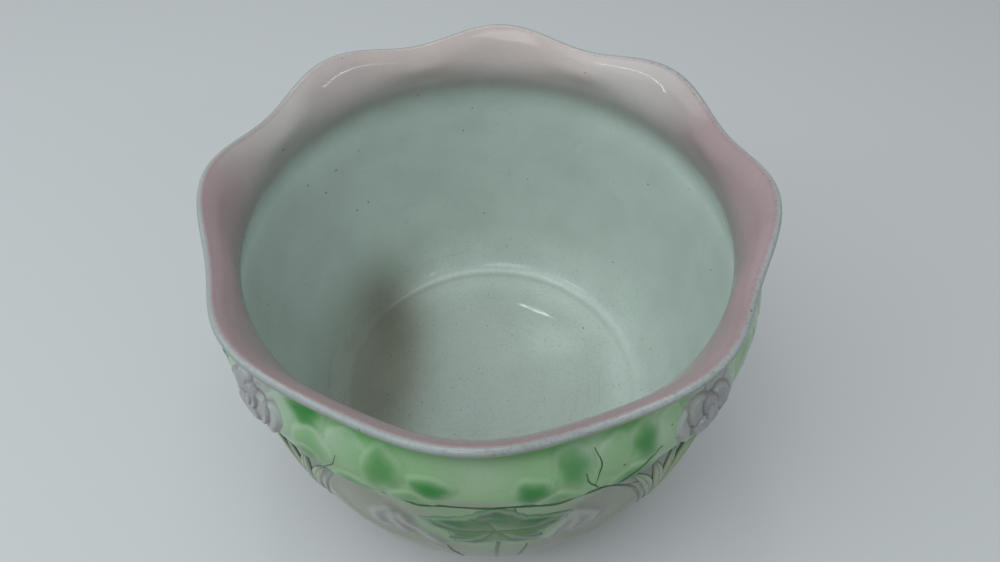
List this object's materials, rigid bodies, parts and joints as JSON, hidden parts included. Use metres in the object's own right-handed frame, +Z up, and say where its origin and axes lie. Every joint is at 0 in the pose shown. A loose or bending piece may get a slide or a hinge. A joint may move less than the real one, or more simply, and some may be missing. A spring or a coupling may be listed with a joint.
{
  "type": "jardiniere",
  "caption": "Round glazed earthenware planter bowl with a waved flaring rim, a raised garland band, applied flowers and leaves, and a low foot ring.",
  "frame": {"origin": "centre of the foot ring's underside, on the surface that it stands on", "axes": "+Z up along the bowl's axis, -Y is the front, with a crest of the rim's wave in its middle"},
  "size_m": [0.2728, 0.2728, 0.1968],
  "materials": {
    "body_glaze": "glossy glaze, pale grey-white inside, soft pink inside the flare, green garland outside, worn gilding under the lip",
    "flower_glaze": "glossy glaze, grey-white with lilac in the folds",
    "spray_glaze": "glossy glaze, pale green with dark green outlines",
    "vine_leaf_glaze": "glossy glaze, mottled mid green with dark veins"
  },
  "bodies": {
    "root": {"bowl_body": "body_glaze", "flower_front_right": "flower_glaze", "flower_back_right": "flower_glaze", "flower_back_left": "flower_glaze", "flower_front_left": "flower_glaze", "leaf_spray_front_right": "spray_glaze", "leaf_spray_back_right": "spray_glaze", "leaf_spray_back_left": "spray_glaze", "leaf_spray_front_left": "spray_glaze", "vine_leaf_front": "vine_leaf_glaze", "vine_leaf_right": "vine_leaf_glaze", "vine_leaf_back": "vine_leaf_glaze", "vine_leaf_left": "vine_leaf_glaze"}
  },
  "joints": []
}
